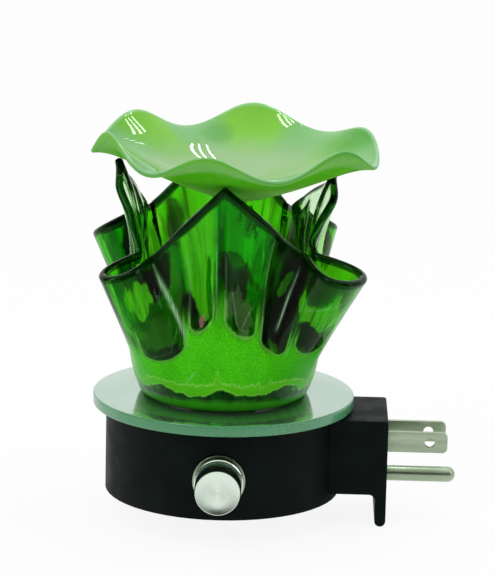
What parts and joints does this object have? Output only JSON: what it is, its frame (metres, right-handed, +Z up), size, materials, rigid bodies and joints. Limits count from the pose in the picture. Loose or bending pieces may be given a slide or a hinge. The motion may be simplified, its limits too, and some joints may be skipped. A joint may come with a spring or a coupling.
{
  "type": "electric oil warmer",
  "caption": "Plug-in oil warmer: a folded glass shade round a small lamp on a mirror-topped drum, under a ruffled glass dish, with a dimmer knob and a wall plug on a short arm.",
  "frame": {"origin": "on the wall plate's outer face, midway between the two flat blades", "axes": "+X along the prongs into the wall, +Z up, the dimmer knob on the -Y side"},
  "size_m": [0.1147, 0.0901, 0.1206],
  "materials": {
    "black_plastic": "fine matte moulding",
    "steel": "zinc plated",
    "foam": "soft adhesive foam",
    "mirror": "silvered glass with a ground edge",
    "ceramic": "plain fired ceramic",
    "clear_glass": "clear quartz",
    "nickel": "nickel plated",
    "aluminium": "turned and polished",
    "board": "solder-masked laminate",
    "component": "moulded case",
    "film_capacitor": "dipped case",
    "ferrite": "wound ferrite",
    "black_lead": "insulated stranded wire",
    "white_lead": "insulated stranded wire",
    "red_lead": "insulated stranded wire",
    "green_lead": "insulated stranded wire",
    "green_glass": "transparent slumped glass with marbled green stain",
    "opal_glass": "milky slumped glass, pearly inside"
  },
  "bodies": {
    "base": {"base_housing": "black_plastic", "bottom_cover": "black_plastic", "cover_screw_1": "steel", "cover_screw_2": "steel", "cover_screw_3": "steel", "mirror_pad": "foam", "mirror_disc": "mirror", "lamp_holder": "ceramic", "holder_screw_1": "steel", "holder_screw_2": "steel", "dimmer_body": "steel", "dimmer_washer": "nickel", "dimmer_nut": "nickel", "dimmer_board": "board", "triac": "component", "capacitor": "film_capacitor", "choke": "ferrite", "plug_block": "black_plastic", "live_blade": "nickel", "neutral_blade": "nickel", "ground_pin": "nickel", "live_lead": "black_lead", "neutral_lead": "white_lead", "lamp_lead": "red_lead", "ground_lead": "green_lead"},
    "knob": {"dimmer_knob": "aluminium", "dimmer_shaft": "aluminium"},
    "bulb": {"lamp_capsule": "clear_glass", "lamp_pin_1": "nickel", "lamp_pin_2": "nickel"},
    "shade": {"glass_shade": "green_glass"},
    "dish": {"oil_dish": "opal_glass"}
  },
  "joints": [
    {"name": "knob_turn", "type": "hinge", "parent": "base", "child": "knob", "pos_m": [-0.0505, -0.043, -0.0054], "axis": [0, -1, 0], "range_deg": [-140, 140]},
    {"name": "lamp_pull", "type": "slide", "parent": "base", "child": "bulb", "axis": [0, 0, 1], "range_m": [0, 0.01]},
    {"name": "shade_lift", "type": "slide", "parent": "base", "child": "shade", "axis": [0, 0, 1], "range_m": [0, 0.06]},
    {"name": "dish_lift", "type": "slide", "parent": "shade", "child": "dish", "axis": [0, 0, 1], "range_m": [0, 0.03]}
  ]
}
